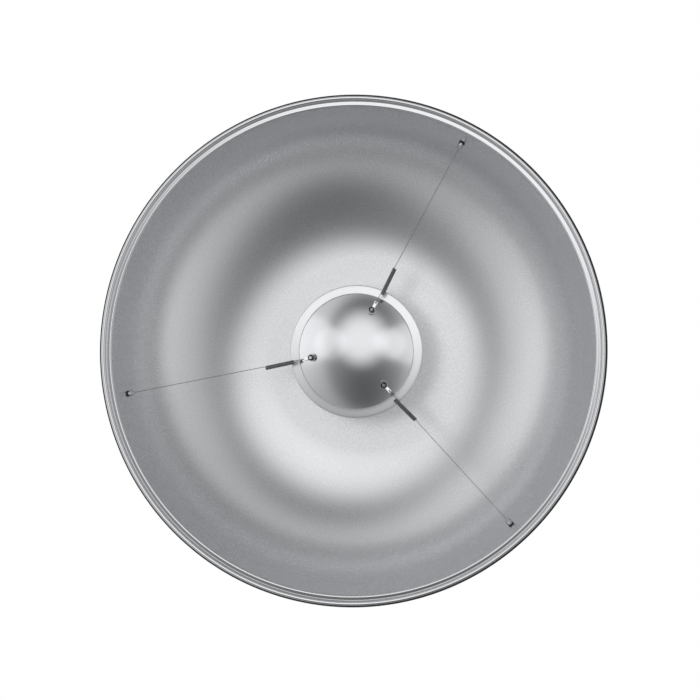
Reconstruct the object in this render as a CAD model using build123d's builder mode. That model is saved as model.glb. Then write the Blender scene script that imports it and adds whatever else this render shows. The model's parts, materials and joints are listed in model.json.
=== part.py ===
"""Beauty dish (softlight reflector) with a deflector disc floated on three sprung steel wires.

Frame: origin on the lamp axis in the rear seat face of the bayonet ring, +Y to the rear (towards
the lamp head), the bowl opens towards -Y, +Z up. Millimetres and degrees.
"""
from build123d import *
from math import asin, cos, degrees, radians, sin, sqrt
import os

# ---- driving dimensions --------------------------------------------------------------------
OUTER_RADIUS = 250.0        # over the rolled rim
SHEET = 1.5                 # spun aluminium of the bowl
NECK_RADIUS = 45.0          # inside of the short rear neck
NECK_END_Y = -8.0
NECK_BEND = 2.5
BASE_Y = -26.0              # front surface of the bowl's base
BASE_END_RADIUS = 95.0      # flat base, then two round stretches and a straight wall
BOWL_ARC = 172.0
BOWL_SLOPE = 30.0
SIDE_ARC = 128.0
WALL_SLOPE = 58.5
WALL_END_RADIUS = 238.0
SHOULDER_ARC = 2.5
LAND_SLOPE = 10.0           # land between shoulder and bead, falling to the rear
VALLEY_ARC = 0.8
BEAD_ARC = 3.2              # rolled edge
BEAD_START = 70.0           # slope where the roll begins
BEAD_SWEEP = 270.0

DISC_SHEET = 1.0            # deflector disc
DOME_RADIUS = 55.9
DOME_HEIGHT = 12.3
DOME_SETBACK = 12.5         # apex behind the front of the rim
STEP_ARC_OUT = 1.3
STEP_ARC_IN = 0.8
STEP_SLOPE = 60.0
BRIM_SLOPE = 7.0
BRIM_RADIUS = 64.0
BRIM_EDGE_ARC = 1.4
BRIM_EDGE_SWEEP = 120.0

LUG_RADIUS = 42.6           # lug screws from the axis, along the dome's surface
LUG_ANGLES = (67.7, 187.9, 310.7)
ANCHOR_RADIUS = 226.8       # wire hole of the anchor studs
ANCHOR_ANGLES = (62.6, 190.2, 312.2)
LUG_SHEET = 0.8
LUG_RING_RADIUS = 4.0
LUG_ARM_WIDTH = 3.0
LUG_ARM_LENGTH = 8.4        # ring centre to wire hole
LUG_BEND = 3.6              # ring centre to bend line
LUG_TIP_RADIUS = 1.7
LUG_HOLE_RADIUS = 0.9
SPACER_HEIGHT = 1.5
SPACER_RADIUS = 3.0

WIRE_RADIUS = 0.3
HOOK_ARC = 1.1
HOOK_RETURN = 3.6
INNER_LEG = 10.0
COIL_LENGTH = 28.0
COIL_RADIUS = 2.1           # outside
LEG_SEAT_RADIUS = 1.74      # legs run into the coil's wall at this radius
COIL_OFFSETS = ((1.7, 0.4), (-0.8, -1.3), (1.7, 0.4))   # sideways, at the inner and outer coil end
LEG_OVERLAP = 0.8
LOOP_HALF_WIDTH = 2.5
LOOP_LENGTH = 5.6
LOOP_ARC = 0.8

M3_RADIUS = 1.5
M3_CLEARANCE_RADIUS = 1.6
M3_NUT_BORE = 1.55
M3_NUT_FLATS = 5.5
M3_NUT_HEIGHT = 2.4
M3_HEAD_RADIUS = 2.8
M3_HEAD_HEIGHT = 1.9
WASHER_RADIUS = 3.5
WASHER_SHEET = 0.5
SEAT_GAP = 0.06             # flat parts stay this far off the curved sheets

POST_RADIUS = 1.8           # anchor stud
POST_TIP = 2.6              # beyond the wire hole
POST_COLLAR_RADIUS = 3.0
POST_COLLAR_HEIGHT = 1.0
POST_WIRE_HOLE_RADIUS = 0.6

BORE_RADIUS = 41.5          # light path through the bayonet ring
RING_FRONT_Y = -21.0
FLANGE_SHEET = 6.0
FLANGE_RADIUS = 68.0
SPIGOT_RADIUS = 46.0
SPIGOT_END_Y = 9.0
BAYONET_RADIUS = 50.5
BAYONET_START_Y = 5.0
BAYONET_ARC = 34.0
BAYONET_COUNT = 3
BAYONET_ROOT = 1.0          # of each lug inside the spigot
RING_SCREW_CIRCLE = 60.0
RING_SCREW_COUNT = 4
RING_SCREW_START = 45.0
LOCK_HOLE_RADIUS = 2.6
LOCK_HOLE_DEPTH = 4.0
LOCK_HOLE_ANGLE = 180.0

COLLAR_RADIUS = 66.0
COLLAR_WAIST_RADIUS = 54.0
COLLAR_FRONT_FLANGE = 3.0
COLLAR_REAR_FLANGE = 3.45
GASKET_SHEET = 1.0
RUNNING_GAP = 0.05
M4_RADIUS = 2.0
M4_CLEARANCE_RADIUS = 2.2
M4_THREAD_RADIUS = 2.05
NECK_SCREW_COUNT = 6
NECK_SCREW_Y = -15.0
NECK_SCREW_TIP = 42.5
NECK_SCREW_HEAD_RADIUS = 3.8
NECK_SCREW_HEAD_HEIGHT = 2.2
RING_SCREW_END_Y = -9.3     # thread end in the collar's rear flange
COUNTERSINK_RADIUS = 4.0
COUNTERSINK_HALF_ANGLE = 41.0
SOCKET_RADIUS = 1.4
SOCKET_DEPTH = 1.3
RING_SOCKET_RADIUS = 1.4
RING_SOCKET_DEPTH = 1.2
HEAD_TAPER = 18.0           # of button heads
EDGE_BREAK = 0.8            # chamfer on turned rims
THREAD_STAND = 0.5          # threads stand this far out of their nuts
THREAD_CHAMFER = 0.3
POST_TIP_FILLET = 0.5
DRILL = 9.0                 # length of the cutters for holes through sheet
COLLAR_DRILL = 24.0         # and through the collar's flanges

# ---- derived places ------------------------------------------------------------------------
bowl_end_radius = BASE_END_RADIUS + BOWL_ARC * sin(radians(BOWL_SLOPE))
bowl_end_y = BASE_Y - BOWL_ARC * (1 - cos(radians(BOWL_SLOPE)))
side_end_radius = bowl_end_radius + SIDE_ARC * (sin(radians(WALL_SLOPE)) - sin(radians(BOWL_SLOPE)))
side_end_y = bowl_end_y - SIDE_ARC * (cos(radians(BOWL_SLOPE)) - cos(radians(WALL_SLOPE)))
wall_run = (WALL_END_RADIUS - side_end_radius) / cos(radians(WALL_SLOPE))
wall_end_y = side_end_y - wall_run * sin(radians(WALL_SLOPE))
shoulder_end_radius = WALL_END_RADIUS + SHOULDER_ARC * (sin(radians(LAND_SLOPE)) + sin(radians(WALL_SLOPE)))
shoulder_end_y = wall_end_y - SHOULDER_ARC * (cos(radians(LAND_SLOPE)) - cos(radians(WALL_SLOPE)))
bead_centre_radius = OUTER_RADIUS - BEAD_ARC
bead_start_radius = bead_centre_radius - BEAD_ARC * sin(radians(BEAD_START))
valley_width = VALLEY_ARC * (sin(radians(LAND_SLOPE)) + sin(radians(BEAD_START)))
land_run = (bead_start_radius - valley_width - shoulder_end_radius) / cos(radians(LAND_SLOPE))
bead_start_y = (shoulder_end_y + land_run * sin(radians(LAND_SLOPE))
                - VALLEY_ARC * (cos(radians(LAND_SLOPE)) - cos(radians(BEAD_START))))
front_y = bead_start_y + BEAD_ARC * cos(radians(BEAD_START)) - BEAD_ARC

dome_arc = (DOME_RADIUS ** 2 + DOME_HEIGHT ** 2) / (2 * DOME_HEIGHT)
dome_slope = degrees(asin(DOME_RADIUS / dome_arc))
apex_y = front_y + DOME_SETBACK
dome_centre_y = apex_y + dome_arc
lug_slope = asin(LUG_RADIUS / dome_arc)
lug_seat_y = dome_centre_y - sqrt(dome_arc ** 2 - LUG_RADIUS ** 2)
lug_lift = SPACER_HEIGHT + LUG_SHEET / 2
lug_ring_radius = LUG_RADIUS + lug_lift * sin(lug_slope)
lug_arm_y = lug_seat_y - lug_lift * cos(lug_slope) + LUG_BEND * sin(lug_slope)
wire_y = lug_arm_y - HOOK_ARC
wall_normal = (-sin(radians(WALL_SLOPE)), -cos(radians(WALL_SLOPE)))
post_height = ((ANCHOR_RADIUS - WALL_END_RADIUS) * wall_normal[0]
               + (wire_y - wall_end_y) * wall_normal[1])


def around(radius, angle, y):
    """Point at a radius and an angle about the lamp axis, seen from the front."""
    return Vector(radius * cos(radians(angle)), y, radius * sin(radians(angle)))


def dome_seat(angle):
    """Plane on the front of the dome at a lug screw, its normal pointing forwards out of the dome."""
    outward = around(sin(lug_slope), angle, -cos(lug_slope))
    side = Vector(-sin(radians(angle)), 0, cos(radians(angle)))
    return Plane(origin=around(LUG_RADIUS, angle, lug_seat_y), x_dir=side, z_dir=outward)


def wall_seat(angle):
    """Plane on the inside of the bowl wall at an anchor, its normal pointing into the bowl."""
    inward = around(wall_normal[0], angle, wall_normal[1])
    side = Vector(-sin(radians(angle)), 0, cos(radians(angle)))
    hole = around(ANCHOR_RADIUS, angle, wire_y)
    return Plane(origin=hole - inward * post_height, x_dir=side, z_dir=inward)


class WireRun:
    """Straight line of one suspension wire, from its lug hole to its anchor hole."""

    def __init__(self, lug_angle, anchor_angle):
        ring = around(lug_ring_radius, lug_angle, wire_y)
        self.anchor = around(ANCHOR_RADIUS, anchor_angle, wire_y)
        self.out = (self.anchor - ring).normalized()
        self.right = Vector(self.out.Z, 0, -self.out.X)
        self.ring = ring
        self.hole = ring + self.out * LUG_ARM_LENGTH
        self.length = (self.anchor - self.hole).length

    def coil_end(self, distance, sideways):
        """Point on the coil's axis, placed so that the wire line runs inside the coil's wall there."""
        depth = sqrt(LEG_SEAT_RADIUS ** 2 - sideways ** 2)
        return self.hole + self.out * distance + self.right * sideways + Vector(0, depth, 0)


wire_runs = [WireRun(lug, anchor) for lug, anchor in zip(LUG_ANGLES, ANCHOR_ANGLES)]


def save(part, name):
    """Label a finished piece and write its file."""
    part.part.label = name
    export_step(part.part, f"parts/{name}.step")


def make_dish_shell():
    """One spun bowl: rear neck, flat base, round bowl, steep wall, shoulder and rolled rim."""
    with BuildPart() as dish_shell:
        with BuildSketch(Plane.XY):
            with BuildLine():
                neck = Line((NECK_RADIUS, NECK_END_Y), (NECK_RADIUS, BASE_Y + NECK_BEND))
                bend = JernArc(neck @ 1, neck % 1, NECK_BEND, 90)
                base = Line(bend @ 1, (BASE_END_RADIUS, BASE_Y))
                bowl = JernArc(base @ 1, base % 1, BOWL_ARC, -BOWL_SLOPE)
                side = JernArc(bowl @ 1, bowl % 1, SIDE_ARC, BOWL_SLOPE - WALL_SLOPE)
                wall = PolarLine(side @ 1, wall_run, direction=side % 1)
                shoulder = JernArc(wall @ 1, wall % 1, SHOULDER_ARC, WALL_SLOPE + LAND_SLOPE)
                land = PolarLine(shoulder @ 1, land_run, direction=shoulder % 1)
                valley = JernArc(land @ 1, land % 1, VALLEY_ARC, -LAND_SLOPE - BEAD_START)
                JernArc(valley @ 1, valley % 1, BEAD_ARC, BEAD_SWEEP)
                offset(amount=SHEET, side=Side.LEFT)
            make_face()
        revolve(axis=Axis.Y)
        with Locations(*[wall_seat(angle) for angle in ANCHOR_ANGLES]):
            Cylinder(M3_CLEARANCE_RADIUS, DRILL, mode=Mode.SUBTRACT)
        with Locations(*[neck_screw_plane(index) for index in range(NECK_SCREW_COUNT)]):
            Cylinder(M4_CLEARANCE_RADIUS, DRILL, mode=Mode.SUBTRACT)
    save(dish_shell, "dish_shell")


def neck_screw_plane(index):
    """Plane square to one radial neck screw, its normal pointing outwards, centred in the neck wall."""
    angle = 360.0 * index / NECK_SCREW_COUNT
    origin = around(NECK_RADIUS + SHEET / 2, angle, NECK_SCREW_Y)
    return Plane(origin=origin, x_dir=(0, 1, 0), z_dir=around(1, angle, 0))


def make_bayonet_ring():
    """Turned ring: front spigot inside the neck, flange with the seat face, rear spigot with lugs."""
    lug_width = BAYONET_RADIUS - SPIGOT_RADIUS + BAYONET_ROOT
    lug_height = SPIGOT_END_Y - BAYONET_START_Y
    with BuildPart() as bayonet_ring:
        with BuildSketch(Plane.XY):
            with BuildLine():
                Polyline(
                    (BORE_RADIUS, RING_FRONT_Y), (NECK_RADIUS - RUNNING_GAP, RING_FRONT_Y),
                    (NECK_RADIUS - RUNNING_GAP, -FLANGE_SHEET), (FLANGE_RADIUS, -FLANGE_SHEET),
                    (FLANGE_RADIUS, 0), (SPIGOT_RADIUS, 0), (SPIGOT_RADIUS, SPIGOT_END_Y),
                    (BORE_RADIUS, SPIGOT_END_Y), close=True)
            make_face()
        revolve(axis=Axis.Y)
        rims = bayonet_ring.edges().filter_by(GeomType.CIRCLE).group_by(SortBy.RADIUS)[-1]
        chamfer(rims, EDGE_BREAK)
        for index in range(BAYONET_COUNT):
            start = 360.0 * index / BAYONET_COUNT - BAYONET_ARC / 2
            with BuildSketch(Plane.XY.rotated((0, start, 0))):
                with Locations((BAYONET_RADIUS - lug_width / 2, SPIGOT_END_Y - lug_height / 2)):
                    Rectangle(lug_width, lug_height)
            revolve(axis=Axis.Y, revolution_arc=BAYONET_ARC)
        with Locations(*ring_screw_planes()):
            CounterSinkHole(M4_CLEARANCE_RADIUS, COUNTERSINK_RADIUS, depth=FLANGE_SHEET)
        with Locations(lock_hole_plane()):
            Hole(LOCK_HOLE_RADIUS, depth=LOCK_HOLE_DEPTH)
        with Locations(*[neck_screw_plane(index) for index in range(NECK_SCREW_COUNT)]):
            Cylinder(M4_THREAD_RADIUS, DRILL, mode=Mode.SUBTRACT)
    save(bayonet_ring, "bayonet_ring")


def ring_screw_planes():
    """Planes on the seat face, one per countersunk ring screw, their normals to the rear."""
    angles = [RING_SCREW_START + 360.0 * index / RING_SCREW_COUNT for index in range(RING_SCREW_COUNT)]
    places = [around(RING_SCREW_CIRCLE, angle, 0) for angle in angles]
    return [Plane(origin=place, x_dir=(1, 0, 0), z_dir=(0, 1, 0)) for place in places]


def lock_hole_plane():
    """Plane on the seat face at the lock pin's hole."""
    return Plane(origin=around(RING_SCREW_CIRCLE, LOCK_HOLE_ANGLE, 0), x_dir=(1, 0, 0), z_dir=(0, 1, 0))


def make_mount_collar():
    """Spool round the outside of the neck, between the bowl's base and the bayonet flange."""
    bore = NECK_RADIUS + SHEET + RUNNING_GAP
    front = BASE_Y + SHEET + GASKET_SHEET
    with BuildPart() as mount_collar:
        with BuildSketch(Plane.XY):
            with BuildLine():
                Polyline(
                    (bore, front), (COLLAR_RADIUS, front), (COLLAR_RADIUS, front + COLLAR_FRONT_FLANGE),
                    (COLLAR_WAIST_RADIUS, front + COLLAR_FRONT_FLANGE),
                    (COLLAR_WAIST_RADIUS, -FLANGE_SHEET - COLLAR_REAR_FLANGE),
                    (COLLAR_RADIUS, -FLANGE_SHEET - COLLAR_REAR_FLANGE), (COLLAR_RADIUS, -FLANGE_SHEET),
                    (bore, -FLANGE_SHEET), close=True)
            make_face()
        revolve(axis=Axis.Y)
        rims = mount_collar.edges().filter_by(GeomType.CIRCLE).group_by(SortBy.RADIUS)[-1]
        chamfer(rims, EDGE_BREAK)
        with Locations(*[neck_screw_plane(index) for index in range(NECK_SCREW_COUNT)]):
            Cylinder(M4_CLEARANCE_RADIUS, COLLAR_DRILL, mode=Mode.SUBTRACT)
        with Locations(*ring_screw_planes()):
            Cylinder(M4_THREAD_RADIUS, COLLAR_DRILL, mode=Mode.SUBTRACT)
    save(mount_collar, "mount_collar")


def make_collar_gasket():
    """Flat soft ring between the bowl's base and the collar."""
    with BuildPart() as collar_gasket:
        with BuildSketch(Plane(origin=(0, BASE_Y + SHEET, 0), z_dir=(0, 1, 0))):
            Circle(COLLAR_RADIUS - EDGE_BREAK)
            Circle(NECK_RADIUS + SHEET + GASKET_SHEET + RUNNING_GAP, mode=Mode.SUBTRACT)
        extrude(amount=GASKET_SHEET)
    save(collar_gasket, "collar_gasket")


def make_neck_screws():
    """Radial button-head screws through collar and neck into the bayonet ring's front spigot."""
    shank = COLLAR_WAIST_RADIUS - NECK_SCREW_TIP
    to_waist = COLLAR_WAIST_RADIUS + SEAT_GAP - NECK_RADIUS - SHEET / 2
    with BuildPart() as neck_screws:
        for index in range(NECK_SCREW_COUNT):
            seat = neck_screw_plane(index).offset(to_waist)
            with BuildSketch(seat):
                Circle(NECK_SCREW_HEAD_RADIUS)
            extrude(amount=NECK_SCREW_HEAD_HEIGHT, taper=HEAD_TAPER)
            with BuildSketch(seat):
                Circle(M4_RADIUS)
            extrude(amount=-shank)
            with BuildSketch(seat.offset(NECK_SCREW_HEAD_HEIGHT)):
                RegularPolygon(SOCKET_RADIUS, 6)
            extrude(amount=-SOCKET_DEPTH, mode=Mode.SUBTRACT)
    save(neck_screws, "neck_screws")


def make_ring_screws():
    """Countersunk screws from the seat face into the collar's rear flange."""
    cone_height = COUNTERSINK_RADIUS - M4_RADIUS
    with BuildPart() as ring_screws:
        for seat in ring_screw_planes():
            with BuildSketch(seat.offset(-RUNNING_GAP)):
                Circle(COUNTERSINK_RADIUS - 2 * RUNNING_GAP)
            extrude(amount=-cone_height, taper=COUNTERSINK_HALF_ANGLE)
            with BuildSketch(seat.offset(-cone_height)):
                Circle(M4_RADIUS)
            extrude(amount=RING_SCREW_END_Y + cone_height)
            with BuildSketch(seat):
                RegularPolygon(RING_SOCKET_RADIUS, 6)
            extrude(amount=-RING_SOCKET_DEPTH, mode=Mode.SUBTRACT)
    save(ring_screws, "ring_screws")


def make_deflector_disc():
    """Spun disc: polished dome, small step, flat brim and rolled edge, with three lug screw holes."""
    with BuildPart() as deflector_disc:
        with BuildSketch(Plane.XY):
            with BuildLine():
                dome = JernArc((0, apex_y), (1, 0), dome_arc, dome_slope)
                drop = JernArc(dome @ 1, dome % 1, STEP_ARC_OUT, STEP_SLOPE - dome_slope)
                crease = JernArc(drop @ 1, drop % 1, STEP_ARC_IN, BRIM_SLOPE - STEP_SLOPE)
                brim_run = (BRIM_RADIUS - (crease @ 1).X) / cos(radians(BRIM_SLOPE))
                brim = PolarLine(crease @ 1, brim_run, direction=crease % 1)
                JernArc(brim @ 1, brim % 1, BRIM_EDGE_ARC, BRIM_EDGE_SWEEP)
                offset(amount=DISC_SHEET, side=Side.LEFT)
            make_face()
        revolve(axis=Axis.Y)
        with Locations(*[dome_seat(angle) for angle in LUG_ANGLES]):
            Cylinder(M3_CLEARANCE_RADIUS, DRILL, mode=Mode.SUBTRACT)
    save(deflector_disc, "deflector_disc")


def make_lug_set(number, run, angle):
    """Spacer, bent wire lug, screw from behind and nut in front, at one of the dome's screw holes."""
    seat = dome_seat(angle)
    with BuildPart() as spacer:
        with BuildSketch(seat):
            Circle(SPACER_RADIUS)
            Circle(M3_CLEARANCE_RADIUS, mode=Mode.SUBTRACT)
        extrude(amount=SPACER_HEIGHT)
    save(spacer, f"lug_spacer_{number}")

    arm_back = Vector(run.ring.X, lug_arm_y + LUG_SHEET / 2, run.ring.Z)
    arm_plane = Plane(origin=arm_back, x_dir=run.out, z_dir=(0, -1, 0))
    arm_start = LUG_BEND - LUG_SHEET / 2
    arm_length = LUG_ARM_LENGTH - arm_start
    with BuildPart() as lug:
        with BuildSketch(seat.offset(SPACER_HEIGHT)):
            Circle(LUG_RING_RADIUS)
            Circle(M3_CLEARANCE_RADIUS, mode=Mode.SUBTRACT)
        extrude(amount=LUG_SHEET)
        with BuildSketch(arm_plane):
            with Locations((arm_start + arm_length / 2, 0)):
                Rectangle(arm_length, LUG_ARM_WIDTH)
            with Locations((LUG_ARM_LENGTH, 0)):
                Circle(LUG_TIP_RADIUS)
                Circle(LUG_HOLE_RADIUS, mode=Mode.SUBTRACT)
        extrude(amount=LUG_SHEET)
    save(lug, f"lug_{number}")

    nut_seat = SPACER_HEIGHT + LUG_SHEET
    head_seat = -DISC_SHEET - SEAT_GAP
    with BuildPart() as screw:
        with BuildSketch(seat.offset(head_seat)):
            Circle(M3_HEAD_RADIUS)
        extrude(amount=-M3_HEAD_HEIGHT, taper=HEAD_TAPER)
        with BuildSketch(seat.offset(head_seat)):
            Circle(M3_RADIUS)
        extrude(amount=nut_seat + M3_NUT_HEIGHT + THREAD_STAND - head_seat)
        tip = screw.faces().sort_by(Axis(origin=seat.origin, direction=seat.z_dir))[-1]
        chamfer(tip.edges(), THREAD_CHAMFER)
    save(screw, f"lug_screw_{number}")

    with BuildPart() as nut:
        with BuildSketch(seat.offset(nut_seat)):
            RegularPolygon(M3_NUT_FLATS / 2, 6, major_radius=False)
            Circle(M3_NUT_BORE, mode=Mode.SUBTRACT)
        extrude(amount=M3_NUT_HEIGHT)
    save(nut, f"lug_nut_{number}")


def make_suspension_wire(number, run, offsets):
    """One-piece spring wire: hook at the lug, close-wound coil, long straight leg, loop at the anchor."""
    inner_end = run.coil_end(INNER_LEG, offsets[0])
    outer_end = run.coil_end(INNER_LEG + COIL_LENGTH, offsets[1])
    axis = (outer_end - inner_end).normalized()
    side = Vector(-run.out.Z, 0, run.out.X)
    hook_plane = Plane(origin=run.hole, x_dir=run.out, z_dir=side)
    loop_plane = Plane(origin=run.anchor, x_dir=-run.out, z_dir=(0, -1, 0))
    loop_run = run.length - INNER_LEG - COIL_LENGTH + LEG_OVERLAP
    with BuildPart() as wire:
        with BuildSketch(Plane(origin=inner_end, z_dir=axis)):
            Circle(COIL_RADIUS)
            Circle(COIL_RADIUS - 2 * WIRE_RADIUS, mode=Mode.SUBTRACT)
        extrude(amount=(outer_end - inner_end).length)
        with BuildLine(hook_plane) as hook:
            Line((INNER_LEG + LEG_OVERLAP, 0), (HOOK_ARC, 0))
            ThreePointArc((HOOK_ARC, 0), (0, HOOK_ARC), (HOOK_ARC, 2 * HOOK_ARC))
            Line((HOOK_ARC, 2 * HOOK_ARC), (HOOK_RETURN, 2 * HOOK_ARC))
        with BuildSketch(Plane(origin=hook.line @ 0, z_dir=hook.line % 0)):
            Circle(WIRE_RADIUS)
        sweep(path=hook.line)
        with BuildLine(loop_plane) as loop:
            FilletPolyline(
                (loop_run, 0), (LOOP_LENGTH, 0), (LOOP_LENGTH / 2, LOOP_HALF_WIDTH), (0, LOOP_HALF_WIDTH),
                (0, -LOOP_HALF_WIDTH), (LOOP_LENGTH / 2, -LOOP_HALF_WIDTH),
                (LOOP_LENGTH - LOOP_ARC, -LOOP_ARC), radius=LOOP_ARC)
        with BuildSketch(Plane(origin=loop.line @ 0, z_dir=loop.line % 0)):
            Circle(WIRE_RADIUS)
        sweep(path=loop.line)
    save(wire, f"suspension_wire_{number}")


def make_anchor_set(number, angle):
    """Stud with a cross hole for the wire, and its washer and nut outside the bowl wall."""
    seat = wall_seat(angle)
    tangent = Vector(-sin(radians(angle)), 0, cos(radians(angle)))
    outside = -SHEET - RUNNING_GAP
    nut_seat = outside - WASHER_SHEET
    thread_end = nut_seat - M3_NUT_HEIGHT - THREAD_STAND
    with BuildPart() as stud:
        with BuildSketch(seat.offset(thread_end)):
            Circle(M3_RADIUS)
        extrude(amount=SEAT_GAP - thread_end)
        with BuildSketch(seat.offset(SEAT_GAP)):
            Circle(POST_COLLAR_RADIUS)
        extrude(amount=POST_COLLAR_HEIGHT)
        with BuildSketch(seat.offset(SEAT_GAP)):
            Circle(POST_RADIUS)
        extrude(amount=post_height + POST_TIP - SEAT_GAP)
        tip = stud.faces().sort_by(Axis(origin=seat.origin, direction=seat.z_dir))[-1]
        fillet(tip.edges(), POST_TIP_FILLET)
        with Locations(Plane(origin=around(ANCHOR_RADIUS, angle, wire_y), z_dir=tangent)):
            Cylinder(POST_WIRE_HOLE_RADIUS, DRILL, mode=Mode.SUBTRACT)
    save(stud, f"anchor_stud_{number}")

    with BuildPart() as washer:
        with BuildSketch(seat.offset(outside)):
            Circle(WASHER_RADIUS)
            Circle(M3_CLEARANCE_RADIUS, mode=Mode.SUBTRACT)
        extrude(amount=-WASHER_SHEET)
    save(washer, f"anchor_washer_{number}")

    with BuildPart() as nut:
        with BuildSketch(seat.offset(nut_seat)):
            RegularPolygon(M3_NUT_FLATS / 2, 6, major_radius=False)
            Circle(M3_NUT_BORE, mode=Mode.SUBTRACT)
        extrude(amount=-M3_NUT_HEIGHT)
    save(nut, f"anchor_nut_{number}")


os.makedirs("parts", exist_ok=True)
make_dish_shell()
make_bayonet_ring()
make_mount_collar()
make_collar_gasket()
make_neck_screws()
make_ring_screws()
make_deflector_disc()
for number, (run, lug_angle, anchor_angle, offsets) in enumerate(
        zip(wire_runs, LUG_ANGLES, ANCHOR_ANGLES, COIL_OFFSETS), start=1):
    make_lug_set(number, run, lug_angle)
    make_suspension_wire(number, run, offsets)
    make_anchor_set(number, anchor_angle)
    print(f"wire {number}: hole {run.hole}, anchor {run.anchor}")
    print(f"wire {number}: direction {run.out}, length {run.length:.3f}")
print(f"front {front_y:.3f}, apex {apex_y:.3f}, wire plane {wire_y:.3f}, post {post_height:.3f}")
print(f"bowl arc ends at {bowl_end_radius:.2f}, {bowl_end_y:.2f}")
print(f"side arc ends at {side_end_radius:.2f}, {side_end_y:.2f}")
print(f"wall ends at {WALL_END_RADIUS}, {wall_end_y:.2f}")
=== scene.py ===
"""Looks of the beauty dish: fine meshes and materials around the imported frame, in metres.

Every piece is worked out in the frame's own axes: +Y runs to the rear along the lamp axis, the bowl
opens towards -Y, +Z is up. Angles round the axis are seen from the front, from +X towards +Z.
"""
import json
from math import asin, atan2, ceil, cos, degrees, hypot, pi, radians, sin, sqrt, tan

import bmesh
import bpy
from mathutils import Matrix, Vector


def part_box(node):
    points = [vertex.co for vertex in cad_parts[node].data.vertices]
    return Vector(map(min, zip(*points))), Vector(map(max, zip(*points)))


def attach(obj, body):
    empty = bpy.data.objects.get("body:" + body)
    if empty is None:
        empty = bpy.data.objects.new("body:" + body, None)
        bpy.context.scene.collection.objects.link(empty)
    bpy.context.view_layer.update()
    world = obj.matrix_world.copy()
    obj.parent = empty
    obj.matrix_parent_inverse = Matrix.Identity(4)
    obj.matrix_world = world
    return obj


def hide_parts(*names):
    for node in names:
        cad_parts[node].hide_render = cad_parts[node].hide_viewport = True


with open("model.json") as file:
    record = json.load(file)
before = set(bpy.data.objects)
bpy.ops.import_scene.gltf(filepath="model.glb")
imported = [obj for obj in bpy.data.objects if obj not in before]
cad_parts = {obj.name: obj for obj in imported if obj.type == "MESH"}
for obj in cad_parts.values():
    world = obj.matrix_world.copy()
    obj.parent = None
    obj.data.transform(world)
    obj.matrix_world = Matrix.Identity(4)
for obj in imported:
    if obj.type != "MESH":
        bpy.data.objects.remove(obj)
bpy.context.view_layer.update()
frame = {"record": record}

MM = 0.001
WELD = 1e-7                 # vertices nearer than this become one
ON_AXIS = 1e-7
SMOOTH_ANGLE = 35           # edges sharper than this stay crisp
BEVEL_ANGLE = 50            # edges sharper than this are rounded where a piece asks for it
NUT_SEGMENTS, SMALL_SEGMENTS, SCREW_SEGMENTS, DISC_SEGMENTS, BOWL_SEGMENTS = 96, 64, 48, 256, 360
LAMP_AXIS = Matrix(((1, 0, 0, 0), (0, 0, 1, 0), (0, -1, 0, 0), (0, 0, 0, 1)))   # local z along +Y


# ---- outlines of turned and spun pieces --------------------------------------------------------
class Outline:
    """A path of (radius, y) points drawn like a pen: straight runs and round turns, with headings."""

    def __init__(self, radius, y, heading):
        self.points = [(radius, y)]
        self.headings = [heading]

    def run(self, length, steps=1):
        heading = self.headings[-1]
        r, y = self.points[-1]
        for k in range(1, steps + 1):
            step = length * k / steps
            self.points.append((r + step * cos(radians(heading)), y + step * sin(radians(heading))))
            self.headings.append(heading)
        return self

    def turn(self, radius, sweep, steps):
        """Positive sweeps turn left."""
        heading = self.headings[-1]
        r, y = self.points[-1]
        side = 1 if sweep > 0 else -1
        for k in range(1, steps + 1):
            now = heading + sweep * k / steps
            self.points.append((r + side * radius * (sin(radians(now)) - sin(radians(heading))),
                                y - side * radius * (cos(radians(now)) - cos(radians(heading)))))
            self.headings.append(now)
        return self

    def beside(self, distance):
        """The same path moved to its left."""
        return [(r - distance * sin(radians(h)), y + distance * cos(radians(h)))
                for (r, y), h in zip(self.points, self.headings)]


def round_end(start, end, heading):
    """Half-round points between two corners of a sheet's end, bulging along the heading."""
    middle = ((start[0] + end[0]) / 2, (start[1] + end[1]) / 2)
    half = hypot(end[0] - start[0], end[1] - start[1]) / 2
    return [(middle[0] + half * cos(radians(heading + turn)), middle[1] + half * sin(radians(heading + turn)))
            for turn in (-54, -18, 18, 54)]


def sheet_section(outline, thickness):
    """Closed section of a sheet that follows an outline, its ends rounded."""
    inner, outer = outline.points, outline.beside(thickness)
    far_end = round_end(inner[-1], outer[-1], outline.headings[-1])
    near_end = round_end(outer[0], inner[0], outline.headings[0] + 180)
    return inner + far_end + outer[::-1] + near_end


def rounded(points, radius, steps=4, closed=True):
    """A polygon or path whose corners are arcs of that radius."""
    count = len(points)
    result = []
    for i, corner in enumerate(points):
        if not closed and i in (0, count - 1):
            result.append(Vector(corner))
            continue
        here = Vector(corner)
        before = (Vector(points[i - 1]) - here).normalized()
        after = (Vector(points[(i + 1) % count]) - here).normalized()
        half = before.angle(after) / 2
        reach = radius / tan(half)
        centre = here + (before + after).normalized() * (radius / sin(half))
        start, end = here + before * reach, here + after * reach
        for k in range(steps + 1):
            spoke = (start - centre).lerp(end - centre, k / steps).normalized()
            result.append(centre + spoke * radius)
    return result


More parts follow.
